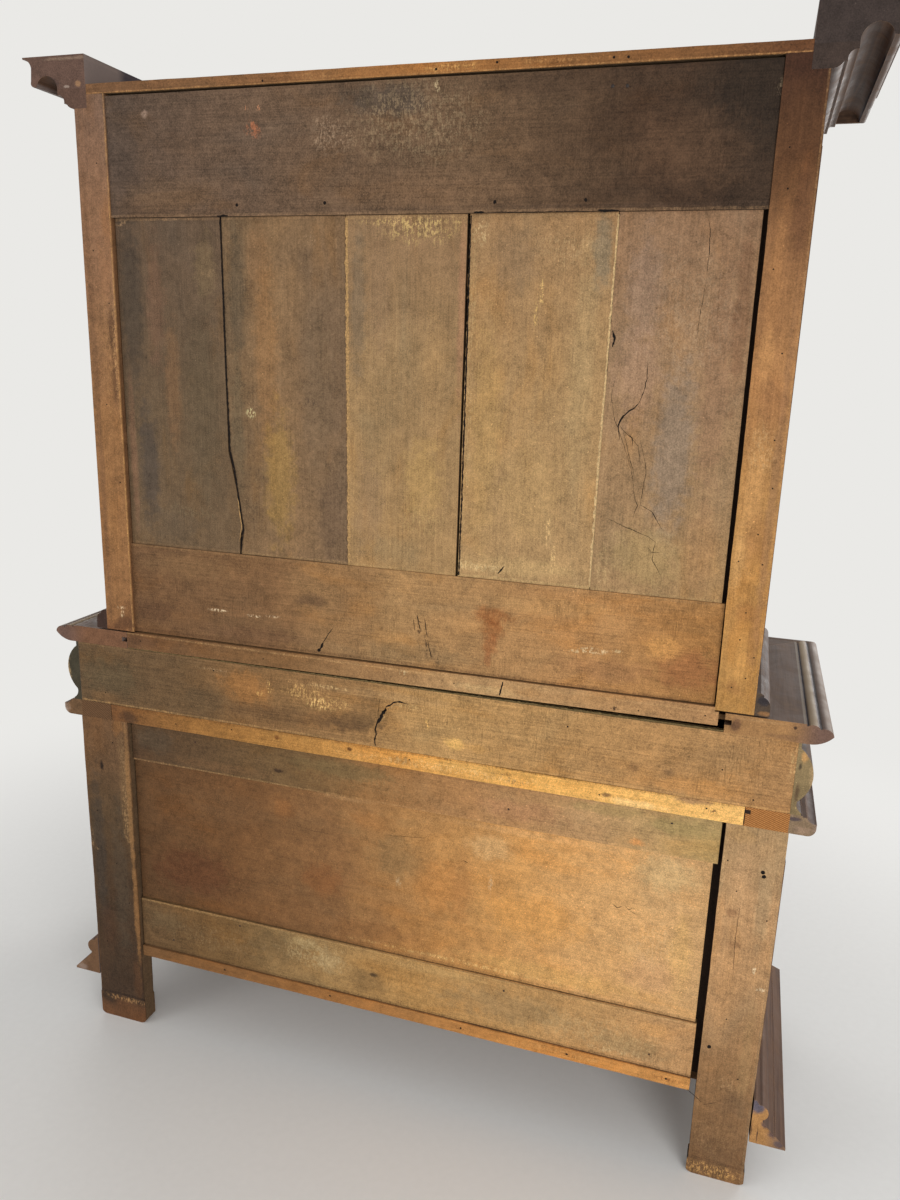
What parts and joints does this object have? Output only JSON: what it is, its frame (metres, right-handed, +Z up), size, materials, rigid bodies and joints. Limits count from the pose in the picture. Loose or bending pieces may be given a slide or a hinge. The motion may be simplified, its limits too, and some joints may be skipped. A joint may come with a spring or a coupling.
{
  "type": "sideboard",
  "caption": "Tall two-part sideboard seen mostly from its plank back: cupboard doors above and below, drawers in a rounded frieze, mitred mouldings and a cornice.",
  "frame": {"origin": "on the floor, under the middle of the outer box", "axes": "+Z up, -Y out of the front, +Y out of the back, +X to the right of a person facing the front"},
  "size_m": [1.679, 0.599, 2.152],
  "materials": {
    "polished_walnut": "satin",
    "oak_back": "matt",
    "oak_post": "matt",
    "pine_strip": "matt",
    "oak_inside": "matt",
    "turned_wood": "satin",
    "iron": "satin"
  },
  "bodies": {
    "case": {"back_board_1": "oak_back", "back_board_2": "oak_back", "back_board_3": "oak_back", "back_board_4": "oak_back", "back_board_5": "oak_back", "back_bottom_board": "oak_back", "back_top_board": "oak_back", "base_moulding": "polished_walnut", "bed_moulding": "polished_walnut", "case_hinges": "iron", "crown_moulding": "polished_walnut", "drawer_runners": "oak_inside", "frieze_back_board": "oak_back", "frieze_boards": "polished_walnut", "front_feet": "turned_wood", "lower_back_bottom_rail": "oak_back", "lower_back_panel": "oak_back", "lower_back_top_rail": "oak_back", "lower_bottom_board": "oak_back", "lower_front_frame": "polished_walnut", "lower_rear_post_left": "oak_post", "lower_rear_post_right": "oak_post", "shelves_and_cleats": "oak_inside", "side_panels": "polished_walnut", "side_rails": "polished_walnut", "table_end_left": "polished_walnut", "table_end_right": "polished_walnut", "table_field_board": "oak_back", "table_front_board": "polished_walnut", "upper_base_moulding": "polished_walnut", "upper_floor_board": "oak_inside", "upper_front_frame": "polished_walnut", "upper_rear_stile_left": "oak_post", "upper_rear_stile_right": "oak_post", "upper_top_board": "oak_post", "waist_back_strip": "pine_strip", "waist_moulding": "polished_walnut", "waist_rails": "oak_inside"},
    "drawer_left": {"drawer_left_box": "oak_inside", "drawer_left_front": "polished_walnut", "drawer_left_knobs": "turned_wood"},
    "drawer_right": {"drawer_right_box": "oak_inside", "drawer_right_front": "polished_walnut", "drawer_right_knobs": "turned_wood"},
    "lower_door_left": {"lower_door_left_frame": "polished_walnut", "lower_door_left_hinges": "iron", "lower_door_left_panel": "polished_walnut"},
    "lower_knob_left": {"lower_door_left_knob": "turned_wood"},
    "lower_door_right": {"lower_door_right_frame": "polished_walnut", "lower_door_right_hinges": "iron", "lower_door_right_panel": "polished_walnut"},
    "lower_knob_right": {"lower_door_right_knob": "turned_wood"},
    "upper_door_left": {"upper_door_left_frame": "polished_walnut", "upper_door_left_hinges": "iron", "upper_door_left_panel": "polished_walnut"},
    "upper_knob_left": {"upper_door_left_knob": "turned_wood"},
    "upper_door_right": {"upper_door_right_frame": "polished_walnut", "upper_door_right_hinges": "iron", "upper_door_right_panel": "polished_walnut"},
    "upper_knob_right": {"upper_door_right_knob": "turned_wood"}
  },
  "joints": [
    {"name": "lower_door_left_swing", "type": "hinge", "parent": "case", "child": "lower_door_left", "pos_m": [-0.6795, -0.2364, 0.533], "axis": [0, 0, -1], "range_deg": [0, 110]},
    {"name": "upper_door_left_swing", "type": "hinge", "parent": "case", "child": "upper_door_left", "pos_m": [-0.6025, -0.1764, 1.524], "axis": [0, 0, -1], "range_deg": [0, 110]},
    {"name": "lower_knob_left_turn", "type": "hinge", "parent": "lower_door_left", "child": "lower_knob_left", "pos_m": [-0.081, -0.2305, 0.533], "axis": [0, -1, 0], "range_deg": [0, 90]},
    {"name": "upper_knob_left_turn", "type": "hinge", "parent": "upper_door_left", "child": "upper_knob_left", "pos_m": [-0.076, -0.1705, 1.524], "axis": [0, -1, 0], "range_deg": [0, 90]},
    {"name": "drawer_left_slide", "type": "slide", "parent": "case", "child": "drawer_left", "axis": [0, -1, 0], "range_m": [0, 0.36]},
    {"name": "lower_door_right_swing", "type": "hinge", "parent": "case", "child": "lower_door_right", "pos_m": [0.6795, -0.2364, 0.533], "axis": [0, 0, 1], "range_deg": [0, 110]},
    {"name": "upper_door_right_swing", "type": "hinge", "parent": "case", "child": "upper_door_right", "pos_m": [0.6025, -0.1764, 1.524], "axis": [0, 0, 1], "range_deg": [0, 110]},
    {"name": "lower_knob_right_turn", "type": "hinge", "parent": "lower_door_right", "child": "lower_knob_right", "pos_m": [0.081, -0.2305, 0.533], "axis": [0, 1, 0], "range_deg": [0, 90]},
    {"name": "upper_knob_right_turn", "type": "hinge", "parent": "upper_door_right", "child": "upper_knob_right", "pos_m": [0.076, -0.1705, 1.524], "axis": [0, 1, 0], "range_deg": [0, 90]},
    {"name": "drawer_right_slide", "type": "slide", "parent": "case", "child": "drawer_right", "axis": [0, -1, 0], "range_m": [0, 0.36]}
  ]
}
